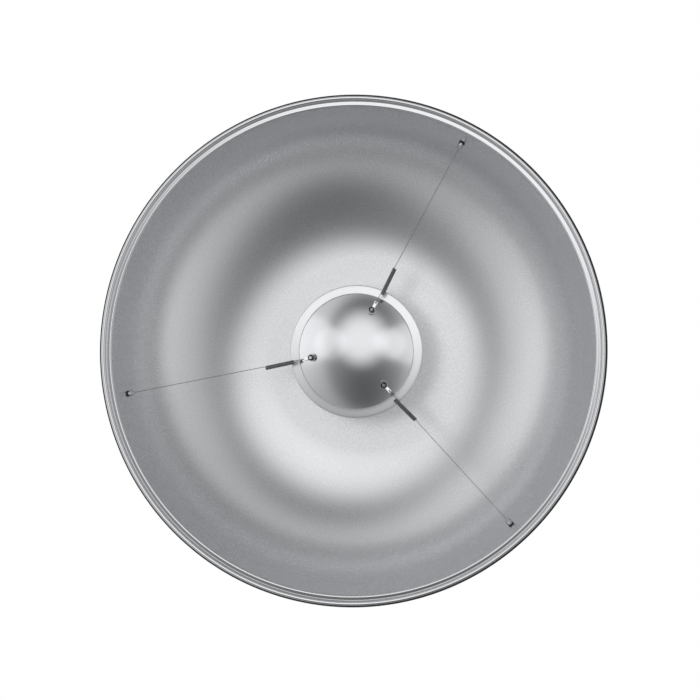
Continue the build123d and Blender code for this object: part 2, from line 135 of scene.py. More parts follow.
# ---- mesh makers ----------------------------------------------------------------------------
def mesh_object(name, verts, faces, material, smooth_angle=SMOOTH_ANGLE, bevel=0.0):
    """Object from vertices and faces, normals pointing out, smooth but for edges sharper than the angle."""
    mesh = bpy.data.meshes.new(name)
    mesh.from_pydata([tuple(v) for v in verts], [], [tuple(f) for f in faces])
    build = bmesh.new()
    build.from_mesh(mesh)
    bmesh.ops.remove_doubles(build, verts=build.verts, dist=WELD)
    bmesh.ops.recalc_face_normals(build, faces=build.faces)
    if bevel:
        sharp = [edge for edge in build.edges if edge.calc_face_angle(0.0) > radians(BEVEL_ANGLE)]
        bmesh.ops.bevel(build, geom=sharp, offset=bevel, segments=2, profile=0.6, affect="EDGES")
    for edge in build.edges:
        edge.smooth = len(edge.link_faces) != 2 or edge.calc_face_angle(0.0) < radians(smooth_angle)
    for face in build.faces:
        face.smooth = True
    build.to_mesh(mesh)
    build.free()
    mesh.materials.append(material)
    piece = bpy.data.objects.new(name, mesh)
    bpy.context.scene.collection.objects.link(piece)
    return piece


def placed(origin, normal, side):
    """Matrix of a seat: local x along side, local z along normal."""
    z = Vector(normal).normalized()
    x = (Vector(side) - z * z.dot(Vector(side))).normalized()
    y = z.cross(x)
    return Matrix(((x.x, y.x, z.x, origin[0]), (x.y, y.y, z.y, origin[1]),
                   (x.z, y.z, z.z, origin[2]), (0, 0, 0, 1)))


def raised(place, height):
    """The same seat moved along its normal."""
    return place @ Matrix.Translation((0, 0, height))


def lathe(section, segments, place=LAMP_AXIS, closed=True):
    """Vertices and faces of a body swept round the local z axis of a seat.

    The section is a list of (radius, height), or a function that gives it for an angle.
    """
    verts, columns, on_axis = [], [], {}
    for k in range(segments):
        angle = 2 * pi * k / segments
        column = []
        for r, h in (section(angle) if callable(section) else section):
            if r < ON_AXIS:
                if round(h, 7) not in on_axis:
                    on_axis[round(h, 7)] = len(verts)
                    verts.append(place @ Vector((0, 0, h)))
                column.append(on_axis[round(h, 7)])
            else:
                column.append(len(verts))
                verts.append(place @ Vector((r * cos(angle), r * sin(angle), h)))
        columns.append(column)
    faces = []
    rows = len(columns[0])
    for k in range(segments):
        here, there = columns[k], columns[(k + 1) % segments]
        for i in range(rows if closed else rows - 1):
            j = (i + 1) % rows
            corners = list(dict.fromkeys((here[i], there[i], there[j], here[j])))
            if len(corners) > 2:
                faces.append(corners)
    return verts, faces


def joined(*bodies):
    """Several (vertices, faces) as one."""
    verts, faces = [], []
    for body_verts, body_faces in bodies:
        start = len(verts)
        verts += body_verts
        faces += [[index + start for index in face] for face in body_faces]
    return verts, faces


def tube(path, radius, sides=10):
    """Vertices and faces of a round wire along a path of points, with domed ends."""
    points = [Vector(p) for p in path]
    tangents = []
    for i in range(len(points)):
        before, after = points[max(i - 1, 0)], points[min(i + 1, len(points) - 1)]
        tangents.append((after - before).normalized())
    across = tangents[0].orthogonal().normalized()
    rings = []
    for i, (point, tangent) in enumerate(zip(points, tangents)):
        across = (across - tangent * across.dot(tangent)).normalized()
        rings.append((point, tangent, across.copy(), 1.0))
    dome = ((0.95, 0.30), (0.70, 0.70), (0.38, 0.92))     # width and reach of each ring, in radii

    def cap(end, way):
        point, tangent, across, _ = end
        return [(point + tangent * way * radius * reach, tangent, across, width) for width, reach in dome]

    rings = cap(rings[0], -1)[::-1] + rings + cap(rings[-1], 1)
    verts, faces = [], []
    for point, tangent, across, width in rings:
        other = tangent.cross(across)
        for k in range(sides):
            a = 2 * pi * k / sides
            verts.append(point + (across * cos(a) + other * sin(a)) * radius * width)
    for i in range(len(rings) - 1):
        for k in range(sides):
            n = (k + 1) % sides
            faces.append([i * sides + k, i * sides + n, (i + 1) * sides + n, (i + 1) * sides + k])
    faces.append(list(range(sides)))
    faces.append(list(range(len(verts) - sides, len(verts))))
    return verts, faces


def show(piece, body, slot, *nodes):
    """Ride a piece on its body and hide the CAD nodes it stands for; the slot it is given is not used."""
    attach(piece, body)
    for node in nodes:
        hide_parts(node)


# ---- materials ------------------------------------------------------------------------------
def new_material(name):
    material = bpy.data.materials.new(name)
    material.use_nodes = True
    nodes = material.node_tree.nodes
    return material, nodes, material.node_tree.links, nodes["Principled BSDF"]


def noise(nodes, links, scale, detail=2.0, stretch=(1.0, 1.0, 1.0)):
    """Noise in the frame's own metres, so that its grain has a real size."""
    place = nodes.new("ShaderNodeTexCoord")
    mapping = nodes.new("ShaderNodeMapping")
    mapping.inputs["Scale"].default_value = stretch
    texture = nodes.new("ShaderNodeTexNoise")
    texture.inputs["Scale"].default_value = scale
    texture.inputs["Detail"].default_value = detail
    links.new(place.outputs["Object"], mapping.inputs["Vector"])
    links.new(mapping.outputs["Vector"], texture.inputs["Vector"])
    return texture.outputs["Fac"]


NOISE_LOW, NOISE_HIGH = 0.3, 0.7         # the range that a noise value mostly stays in


def spread(nodes, links, value, low, high):
    """A noise value stretched to run from low to high."""
    node = nodes.new("ShaderNodeMapRange")
    node.inputs["From Min"].default_value, node.inputs["From Max"].default_value = NOISE_LOW, NOISE_HIGH
    node.inputs["To Min"].default_value, node.inputs["To Max"].default_value = low, high
    links.new(value, node.inputs["Value"])
    return node.outputs["Result"]


def tint(nodes, links, value, low, high):
    ramp = nodes.new("ShaderNodeValToRGB")
    for stop, position, colour in zip(ramp.color_ramp.elements, (NOISE_LOW, NOISE_HIGH), (low, high)):
        stop.position = position
        stop.color = (*colour, 1)
    links.new(value, ramp.inputs["Fac"])
    return ramp.outputs["Color"]


def bump(nodes, links, value, height, shader):
    node = nodes.new("ShaderNodeBump")
    node.inputs["Distance"].default_value = height
    links.new(value, node.inputs["Height"])
    links.new(node.outputs["Normal"], shader.inputs["Normal"])


def metal(name, low, high, roughness, grain, relief, metallic=1.0, stretch=(1.0, 1.0, 1.0)):
    """Metal with a mottled colour, uneven roughness and a fine surface grain; grain and relief in metres."""
    material, nodes, links, shader = new_material(name)
    shader.inputs["Metallic"].default_value = metallic
    fine = noise(nodes, links, 1.0 / grain, 2.0, stretch)
    links.new(tint(nodes, links, noise(nodes, links, MOTTLE, 3.0), low, high), shader.inputs["Base Color"])
    links.new(spread(nodes, links, fine, *roughness), shader.inputs["Roughness"])
    bump(nodes, links, fine, relief, shader)
    return material


def paint(name, colour, roughness, grain, relief):
    return metal(name, colour, tuple(part * 1.6 for part in colour), roughness, grain, relief, metallic=0.0)


MOTTLE = 8.0                 # noise scale of the slow colour change
silver = metal("silver_satin", (0.79, 0.80, 0.82), (0.83, 0.84, 0.86), (0.26, 0.32), 0.0011, 0.000007)
rim_silver = metal("rolled_rim", (0.79, 0.80, 0.82), (0.83, 0.84, 0.86), (0.13, 0.18), 0.0011, 0.000002)
dome_silver = metal("polished_dome", (0.69, 0.70, 0.72), (0.74, 0.75, 0.77), (0.16, 0.22), 0.0009, 0.000002)
brim_silver = metal("matt_brim", (0.89, 0.90, 0.91), (0.93, 0.94, 0.95), (0.28, 0.36), 0.0006, 0.000005)
back_white = metal("white_disc_back", (0.90, 0.90, 0.90), (0.94, 0.94, 0.94), (0.50, 0.60), 0.0006, 0.00001,
                   metallic=0.0)
black_outside = paint("black_outside", (0.010, 0.010, 0.011), (0.34, 0.46), 0.0005, 0.00002)
turned_silver = metal("turned_aluminium", (0.60, 0.61, 0.62), (0.70, 0.71, 0.72), (0.22, 0.34), 0.0009,
                      0.000004, stretch=(1.0, 9.0, 1.0))
collar_black = paint("collar_black", (0.012, 0.012, 0.013), (0.40, 0.52), 0.0004, 0.00003)
gasket_rubber = paint("gasket_rubber", (0.016, 0.016, 0.016), (0.70, 0.82), 0.0003, 0.00004)
zinc = metal("zinc_plate", (0.62, 0.62, 0.62), (0.74, 0.73, 0.70), (0.20, 0.32), 0.0007, 0.000003)
nickel = metal("nickel_plate", (0.80, 0.80, 0.80), (0.88, 0.88, 0.88), (0.08, 0.16), 0.0007, 0.000001)
spring_steel = metal("drawn_wire", (0.24, 0.24, 0.25), (0.34, 0.34, 0.35), (0.12, 0.20), 0.0004, 0.000001)
# Black nickel plate, also used as painted shade: on the lug spacers and nuts and the anchor studs' collars its
# darkness stands in for the shade round these small parts.
black_plate_and_shade = metal("black_nickel_and_painted_shade", (0.05, 0.05, 0.05), (0.09, 0.09, 0.09), (0.10, 0.20), 0.0007,
                     0.000001)
black_oxide = paint("black_oxide", (0.014, 0.014, 0.015), (0.28, 0.40), 0.0003, 0.00001)

# ---- bowl -----------------------------------------------------------------------------------
rim_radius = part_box("dish_shell")[1][0]
rim_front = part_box("dish_shell")[0][1]
NECK_RADIUS, NECK_END, NECK_BEND = 45 * MM, -8 * MM, 2.5 * MM
BASE_Y, BASE_END = -26 * MM, 95 * MM
BOWL_ARC, BOWL_SLOPE = 172 * MM, 30
SIDE_ARC, WALL_SLOPE, WALL_END = 128 * MM, 58.5, 238 * MM
SHOULDER_ARC, LAND_SLOPE, VALLEY_ARC = 2.5 * MM, 10, 0.8 * MM
BEAD_ARC, BEAD_START, BEAD_SWEEP, BEAD_STEPS = 3.2 * MM, 70, 270, 40
BOWL_SHEET = 1.5 * MM
PAINT_OUT, PAINT_IN = 0.07 * MM, 0.05 * MM     # the paint stands out of the sheet and is rooted in it
PAINTED_BEAD_STEPS = 26      # of the bead's steps, from its end

bowl = Outline(NECK_RADIUS, NECK_END, -90)
bowl.run(NECK_END - BASE_Y - NECK_BEND, 3).turn(NECK_BEND, 90, 10).run(BASE_END - NECK_RADIUS - NECK_BEND, 6)
bowl.turn(BOWL_ARC, -BOWL_SLOPE, 32).turn(SIDE_ARC, BOWL_SLOPE - WALL_SLOPE, 30)
bowl.run((WALL_END - bowl.points[-1][0]) / cos(radians(WALL_SLOPE)), 6)
wall_end = bowl.points[-1]
bowl.turn(SHOULDER_ARC, WALL_SLOPE + LAND_SLOPE, 14)
bead_start = rim_radius - BEAD_ARC * (1 + sin(radians(BEAD_START)))
valley_width = VALLEY_ARC * (sin(radians(LAND_SLOPE)) + sin(radians(BEAD_START)))
bowl.run((bead_start - valley_width - bowl.points[-1][0]) / cos(radians(LAND_SLOPE)), 2)
bowl.turn(VALLEY_ARC, -LAND_SLOPE - BEAD_START, 8).turn(BEAD_ARC, BEAD_SWEEP, BEAD_STEPS)
reflector = mesh_object("dish_reflector", *lathe(sheet_section(bowl, BOWL_SHEET), BOWL_SEGMENTS), silver)
reflector.data.materials.append(rim_silver)
for face in reflector.data.polygons:
    if hypot(face.center.x, face.center.z) > WALL_END + MM:
        face.material_index = 1
show(reflector, "dish", "spun_aluminium", "dish_shell")


def paint_loop(outline, low, high, first, last):
    """Closed section of a paint layer between two offsets of an outline."""
    return outline.beside(low)[first:last] + outline.beside(high)[first:last][::-1]


bead_paint = paint_loop(bowl, -PAINT_OUT, PAINT_IN, len(bowl.points) - PAINTED_BEAD_STEPS, len(bowl.points))
back_paint = paint_loop(bowl, BOWL_SHEET - PAINT_IN, BOWL_SHEET + PAINT_OUT, 0, len(bowl.points) - BEAD_STEPS)
black_skin = joined(lathe(bead_paint, BOWL_SEGMENTS), lathe(back_paint, BOWL_SEGMENTS))
show(mesh_object("dish_black_skin", *black_skin, black_outside), "dish", "black_paint", "dish_shell")

# ---- deflector disc -------------------------------------------------------------------------
DISC_SHEET = 1.0 * MM
DOME_RADIUS, DOME_HEIGHT = 55.9 * MM, 12.3 * MM
DOME_ARC = (DOME_RADIUS ** 2 + DOME_HEIGHT ** 2) / (2 * DOME_HEIGHT)
DOME_SLOPE = degrees(asin(DOME_RADIUS / DOME_ARC))
STEP_ARC_OUT, STEP_ARC_IN, STEP_SLOPE, BRIM_SLOPE = 1.3 * MM, 0.8 * MM, 60, 7
BRIM_RADIUS, BRIM_EDGE_ARC, BRIM_EDGE_SWEEP = 64 * MM, 1.4 * MM, 120
BRIM_START = DOME_RADIUS + 0.9 * MM
FACES_BACK = 0.3             # y of a face's normal from which it takes the white finish
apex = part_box("deflector_disc")[0][1]
dome_centre = Vector((0, apex + DOME_ARC, 0))
disc = Outline(0, apex, 0)
disc.turn(DOME_ARC, DOME_SLOPE, 48).turn(STEP_ARC_OUT, STEP_SLOPE - DOME_SLOPE, 8)
disc.turn(STEP_ARC_IN, BRIM_SLOPE - STEP_SLOPE, 8)
disc.run((BRIM_RADIUS - disc.points[-1][0]) / cos(radians(BRIM_SLOPE)), 4)
disc.turn(BRIM_EDGE_ARC, BRIM_EDGE_SWEEP, 16)
disc_back = disc.beside(DISC_SHEET)
disc_section = disc.points + round_end(disc.points[-1], disc_back[-1], disc.headings[-1]) + disc_back[::-1]
deflector = mesh_object("deflector", *lathe(disc_section, DISC_SEGMENTS, closed=False), dome_silver)
deflector.data.materials.append(brim_silver)
deflector.data.materials.append(back_white)
for face in deflector.data.polygons:
    if face.normal.y > FACES_BACK:
        face.material_index = 2
    elif hypot(face.center.x, face.center.z) > BRIM_START:
        face.material_index = 1
show(deflector, "deflector", "polished_aluminium", "deflector_disc")


# ---- small turned and cut hardware ----------------------------------------------------------
def ring_section(bore, radius, low, high, edge):
    """Closed section of a washer or spacer with rounded edges."""
    return rounded([(bore, low), (radius, low), (radius, high), (bore, high)], edge, 3)


def hex_radius(angle, flats):
    """Distance from the axis to the side of a hexagon at an angle."""
    return flats / 2 / cos((angle + pi / 6) % (pi / 3) - pi / 6)


def ridge(height, angle, pitch):
    """0 at a thread's root and 1 at its crest."""
    turn = (height / pitch - angle / (2 * pi)) % 1.0
    return 1 - abs(2 * turn - 1)


def nut(place, flats, height, bore):
    """Hexagon nut with chamfered corners, standing on the place."""
    flat_top = flats / 2 * 0.96
    edge = 0.12 * MM

    def section(angle):
        side = hex_radius(angle, flats)
        drop = (side - flat_top) * tan(radians(30))
        return [(bore + edge, 0), (flat_top, 0), (side, drop), (side, height - drop), (flat_top, height),
                (bore + edge, height), (bore, height - edge), (bore, edge)]

    return lathe(section, NUT_SEGMENTS, place)


def thread_rows(radius, start, end, angle, depth, pitch, chamfer):
    """(radius, height) rows of a screw thread from start to end, its end chamfered."""
    count = ceil(abs(end - start) / (pitch / 8))
    rows = []
    for k in range(count + 1):
        height = start + (end - start) * k / count
        crest = radius - depth * (1 - ridge(height, angle, pitch))
        rows.append((min(crest, radius - chamfer + abs(end - height)), height))
    return rows


M3, M3_PITCH, M4, M4_PITCH = 1.5 * MM, 0.5 * MM, 2.0 * MM, 0.7 * MM
THREAD_DEPTH = 0.28 * MM
THREAD_SHOWN = 2.0 * MM


def shank_rows(radius, length, angle, pitch):
    """Rows of a shank from its head down to its threaded, chamfered end, at -length."""
    rows = [(radius, -(length - THREAD_SHOWN))]
    rows += thread_rows(radius, -(length - THREAD_SHOWN), -length, angle, THREAD_DEPTH, pitch, THREAD_DEPTH)
    return rows + [(0, -length)]


def button_screw(place, head, height, socket, radius, length, pitch):
    """Domed socket-head screw: the head stands up from the place and the shank runs down from it."""
    top = socket * 1.35
    floor = height * 0.35

    def section(angle):
        key = hex_radius(angle, 2 * socket * cos(pi / 6))
        rows = [(0, floor - 0.2 * MM), (key, floor), (key, height - 0.08 * MM), (key + 0.1 * MM, height)]
        rows += [(top + (head - top) * sin(radians(t)), height * (0.14 + 0.86 * cos(radians(t))))
                 for t in (4, 16, 28, 40, 52, 64, 76, 86)]
        rows += [(head, height * 0.06), (head - 0.1 * MM, 0), (radius, 0)]
        return rows + shank_rows(radius, length, angle, pitch)

    return lathe(section, SCREW_SEGMENTS, place, closed=False)


def countersunk_screw(place, head, socket, radius, length, pitch):
    """Flat-headed socket screw, its head's top at the place."""
    depth = 1.2 * MM

    def section(angle):
        key = hex_radius(angle, 2 * socket * cos(pi / 6))
        rows = [(0, -depth - 0.2 * MM), (key, -depth), (key, -0.08 * MM), (key + 0.08 * MM, 0),
                (head - 0.08 * MM, 0), (head, -0.08 * MM), (head, -0.2 * MM), (radius, radius - head)]
        return rows + shank_rows(radius, length, angle, pitch)

    return lathe(section, SCREW_SEGMENTS, place, closed=False)


def cut(piece, *cutters):
    """Bore or mill a piece with other bodies, which are then removed."""
    for verts, faces in cutters:
        tool = mesh_object("cutter", verts, faces, piece.data.materials[0])
        change = piece.modifiers.new("cut", "BOOLEAN")
        change.operation = "DIFFERENCE"
        change.solver = "EXACT"
        change.object = tool
        done = bpy.data.meshes.new_from_object(piece.evaluated_get(bpy.context.evaluated_depsgraph_get()))
        piece.modifiers.clear()
        piece.data = done
        bpy.data.objects.remove(tool)
    build = bmesh.new()
    build.from_mesh(piece.data)
    for edge in build.edges:
        edge.smooth = edge.calc_face_angle(0.0) < radians(SMOOTH_ANGLE)
    build.to_mesh(piece.data)
    build.free()


def pin(radius, low, high, place):
    """Plain round cutter."""
    return lathe([(0, low), (radius, low), (radius, high), (0, high)], SCREW_SEGMENTS, place, closed=False)


def around(radius, angle, y):
    """Point at a radius and an angle in radians about the lamp axis."""
    return Vector((radius * cos(angle), y, radius * sin(angle)))


SHEET_GAP = 0.06 * MM        # flat hardware on curved sheet
NUT_FLATS, NUT_HEIGHT, NUT_BORE = 5.5 * MM, 2.4 * MM, 1.45 * MM
SPACER_HEIGHT, SPACER_RADIUS = 1.5 * MM, 3.0 * MM
LUG_SHEET, LUG_RING, LUG_ARM, LUG_TIP = 0.8 * MM, 4.0 * MM, 1.5 * MM, 1.7 * MM
LUG_REACH, LUG_BEND, LUG_BEND_RADIUS = 8.4 * MM, 3.6 * MM, 1.5 * MM
LUG_SCREW_HOLE, LUG_WIRE_HOLE = 1.6 * MM, 0.9 * MM
LUG_BLEND, LUG_COLUMNS = 9, 4       # how tightly ring, arm and eye run together, and faces across half of it
M3_HEAD, M3_HEAD_HEIGHT, M3_SOCKET = 2.8 * MM, 1.9 * MM, 1.15 * MM
NUT_TO_SEAT = SPACER_HEIGHT + LUG_SHEET + NUT_HEIGHT / 2
WIRE, HOOK_ARC, HOOK_RETURN = 0.3 * MM, 1.1 * MM, 3.6 * MM
INNER_LEG, COIL_LENGTH, COIL_RADIUS, COIL_SEAT = 10 * MM, 28 * MM, 1.8 * MM, 1.74 * MM
COIL_TURNS = 45
COIL_STEPS = 18              # points in each turn
COIL_BEND = 50               # degrees of the first and last turn taken up by the bend to the leg
BEND_RUN = 1.0 * MM
COIL_OFFSETS = {1: (1.7 * MM, 0.4 * MM), 2: (-0.8 * MM, -1.3 * MM), 3: (1.7 * MM, 0.4 * MM)}
LOOP_LENGTH, LOOP_HALF_WIDTH, LOOP_ARC = 5.6 * MM, 2.5 * MM, 0.8 * MM
POST, POST_TIP, POST_COLLAR, POST_COLLAR_HEIGHT, POST_HOLE = 1.8 * MM, 2.6 * MM, 3.0 * MM, 1.0 * MM, 0.6 * MM
POST_EDGE = 1.4 * MM
WASHER_SHEET, WASHER_RADIUS, RUNNING_GAP, THREAD_STAND = 0.5 * MM, 3.5 * MM, 0.05 * MM, 0.5 * MM


class WireRun:
    """Where one wire runs, from its lug on the disc to its anchor stud in the bowl."""

    def __init__(self, number):
        joint = next(j for j in frame["record"]["behaviour"]["joints"] if j["name"] == f"wire_pivot_{number}")
        self.anchor = Vector(joint["pos_m"])
        self.out = Vector((-joint["axis"][2], 0, joint["axis"][0]))
        self.right = Vector((self.out.z, 0, -self.out.x))
        low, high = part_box(f"lug_nut_{number}")
        middle = (Vector(low) + Vector(high)) / 2
        self.normal = (middle - dome_centre).normalized()
        self.seat = middle - self.normal * NUT_TO_SEAT
        ring = self.seat + self.normal * (SPACER_HEIGHT + LUG_SHEET / 2)
        self.ring = ring
        self.hole = Vector((ring.x, self.anchor.y, ring.z)) + self.out * LUG_REACH

    def in_line(self, out, back, aside=0.0):
        """Point by its distance outwards from the lug hole, to the rear and aside."""
        return self.hole + self.out * out + self.right * aside + Vector((0, back, 0))

    def coil_axis(self, distance, aside):
        return self.in_line(distance, sqrt(COIL_SEAT ** 2 - aside ** 2), aside)


def unique(values):
    """Sorted values without near repeats."""
    kept = []
    for value in sorted(values):
        if not kept or value - kept[-1] > 0.01 * MM:
            kept.append(value)
    return kept


def lug_stations(eye):
    """Distances along a lug at which its outline and holes need points."""
    stations = [-LUG_RING * cos(radians(a)) for a in range(0, 156, 6)]
    stations += [LUG_SCREW_HOLE * cos(radians(a)) for a in range(0, 181, 12)]
    stations += [eye + LUG_WIRE_HOLE * cos(radians(a)) for a in range(0, 181, 15)]
    stations += [eye + LUG_TIP * cos(radians(a)) for a in range(0, 121, 10)]
    stations += [LUG_BEND + LUG_BEND_RADIUS * k / 6 for k in range(-3, 4)]
    return unique(stations)


def lug_plate(run):
    """Ring, arm and eye cut from one sheet and bent so that the arm stands square to the lamp axis."""
    slope = run.normal.angle(Vector((0, -1, 0)))
    eye = LUG_REACH + LUG_BEND * (1 - cos(slope))

    def half_width(s):
        ring = sqrt(max(LUG_RING ** 2 - s ** 2, 0))
        arm = LUG_ARM * (max(1 - (s / eye) ** 16, 0)) ** 0.5 if s > 0 else 0
        tip = sqrt(max(LUG_TIP ** 2 - (s - eye) ** 2, 0))
        widest = max(ring, arm, tip)
        if not widest:
            return 0
        return widest * sum((part / widest) ** LUG_BLEND for part in (ring, arm, tip)) ** (1 / LUG_BLEND)

    def half_hole(s):
        return sqrt(max(LUG_SCREW_HOLE ** 2 - s ** 2, LUG_WIRE_HOLE ** 2 - (s - eye) ** 2, 0))

    stations = lug_stations(eye)
    along = (run.out - run.normal * run.normal.dot(run.out)).normalized()
    crossings, spine, last = {}, run.ring.copy(), 0.0
    forward = Vector((0, -1, 0))

    def bent(s):
        share = min(max((s - LUG_BEND + LUG_BEND_RADIUS / 2) / LUG_BEND_RADIUS, 0), 1)
        direction = along.lerp(run.out, share).normalized()
        normal = run.normal.lerp(forward, share)
        normal = (normal - direction * normal.dot(direction)).normalized()
        return direction, normal, normal.cross(direction)

    for s in [s for s in stations if s >= 0]:
        middle_direction = bent((s + last) / 2)[0]
        spine = spine + middle_direction * (s - last)
        last = s
        crossings[s] = (spine.copy(), *bent(s)[1:])
    for s in [s for s in stations if s < 0]:
        crossings[s] = (run.ring + along * s, *bent(s)[1:])
    verts, index = [], {}
    for i, s in enumerate(stations):
        point, normal, side = crossings[s]
        for half in (-1, 1):
            for k in range(LUG_COLUMNS + 1):
                t = half_hole(s) + (half_width(s) - half_hole(s)) * k / LUG_COLUMNS
                for level in (-1, 1):
                    index[i, half, k, level] = len(verts)
                    verts.append(point + side * half * t + normal * level * LUG_SHEET / 2)
    faces = []
    for i in range(len(stations) - 1):
        for half in (-1, 1):
            for k in range(LUG_COLUMNS):
                for level in (-1, 1):
                    faces.append([index[i, half, k, level], index[i + 1, half, k, level],
                                  index[i + 1, half, k + 1, level], index[i, half, k + 1, level]])
            walls = [LUG_COLUMNS]
            if max(half_hole(stations[i]), half_hole(stations[i + 1])) > 0.01 * MM:
                walls.append(0)
            for k in walls:
                faces.append([index[i, half, k, -1], index[i + 1, half, k, -1],
                              index[i + 1, half, k, 1], index[i, half, k, 1]])
    return verts, faces


def make_lug(number, run):
    """Spacer, wire lug, screw from behind the disc and nut in front of it."""
    seat = placed(run.seat, run.normal, run.out)
    back = placed(run.seat - run.normal * (DISC_SHEET + SHEET_GAP), -run.normal, run.out)
    length = DISC_SHEET + SHEET_GAP + SPACER_HEIGHT + LUG_SHEET + NUT_HEIGHT + THREAD_STAND
    spacer = ring_section(NUT_BORE, SPACER_RADIUS, 0.01 * MM, SPACER_HEIGHT, 0.15 * MM)
    pieces = {
        "lug_spacer": (lathe(spacer, SMALL_SEGMENTS, seat), 0),
        "lug": (lug_plate(run), 0.08 * MM),
        "lug_screw": (button_screw(back, M3_HEAD, M3_HEAD_HEIGHT, M3_SOCKET, M3, length, M3_PITCH), 0),
        "lug_nut": (nut(raised(seat, SPACER_HEIGHT + LUG_SHEET), NUT_FLATS, NUT_HEIGHT, NUT_BORE), 0),
    }
    for kind, (body, bevel) in pieces.items():
        # Spacer and nut take the dark plate, partly as painted shade: their darkness stands in for the shade
        # round and inside each lug ring.
        plate = black_plate_and_shade if kind in ("lug_spacer", "lug_nut") else nickel
        piece = mesh_object(f"{kind}_fine_{number}", *body, plate, bevel=bevel)
        show(piece, "deflector", "plated_steel", f"{kind}_{number}")


def joining(start, start_way, end, end_way, steps):
    """Points of a smooth bend between two places, without its ends."""
    reach = (end - start).length
    points = []
    for k in range(1, steps):
        t = k / steps
        points.append(start * (2 * t ** 3 - 3 * t ** 2 + 1) + start_way * reach * (t ** 3 - 2 * t ** 2 + t)
                      + end * (3 * t ** 2 - 2 * t ** 3) + end_way * reach * (t ** 3 - t ** 2))
    return points


def spring_path(run, length, offsets):
    """Wire path: hook at the lug, leg, close-wound coil, long leg and loop through the anchor stud."""
    hook = [run.in_line(HOOK_RETURN, 2 * HOOK_ARC)]
    hook += [run.in_line(HOOK_ARC - HOOK_ARC * sin(radians(a)), HOOK_ARC + HOOK_ARC * cos(radians(a)))
             for a in range(0, 181, 15)]
    inner = run.coil_axis(INNER_LEG, offsets[0])
    outer = run.coil_axis(INNER_LEG + COIL_LENGTH, offsets[1])

    def phase(aside):
        return atan2(-sqrt(COIL_SEAT ** 2 - aside ** 2), -aside)

    first = phase(offsets[0]) + radians(COIL_BEND)
    last = phase(offsets[1]) - radians(COIL_BEND) + 2 * pi * COIL_TURNS
    count = COIL_TURNS * COIL_STEPS
    coil = []
    for k in range(count + 1):
        angle = first + (last - first) * k / count
        turned_out = run.right * cos(angle) + Vector((0, 1, 0)) * sin(angle)
        coil.append(inner.lerp(outer, k / count) + turned_out * COIL_RADIUS)
    leg_in = run.in_line(INNER_LEG - BEND_RUN, 0)
    leg_out = run.in_line(INNER_LEG + COIL_LENGTH + BEND_RUN, 0)
    bend_in = joining(leg_in, run.out, coil[0], (coil[1] - coil[0]).normalized(), 8)
    bend_out = joining(coil[-1], (coil[-1] - coil[-2]).normalized(), leg_out, run.out, 8)
    corners = [(length - INNER_LEG - COIL_LENGTH - 2 * BEND_RUN, 0), (LOOP_LENGTH, 0),
               (LOOP_LENGTH / 2, LOOP_HALF_WIDTH), (0, LOOP_HALF_WIDTH), (0, -LOOP_HALF_WIDTH),
               (LOOP_LENGTH / 2, -LOOP_HALF_WIDTH), (LOOP_LENGTH - LOOP_ARC, -LOOP_ARC)]
    loop = [run.anchor - run.out * along + run.right * aside
            for along, aside in rounded(corners, LOOP_ARC, 6, closed=False)]
    return hook + [leg_in] + bend_in + coil + bend_out + [leg_out] + loop


def make_wire(number, run):
    length = (run.anchor - run.hole).length
    body = tube(spring_path(run, length, COIL_OFFSETS[number]), WIRE)
    piece = mesh_object(f"spring_wire_{number}", *body, spring_steel, smooth_angle=70)
    show(piece, f"wire_{number}", "spring_wire", f"suspension_wire_{number}")


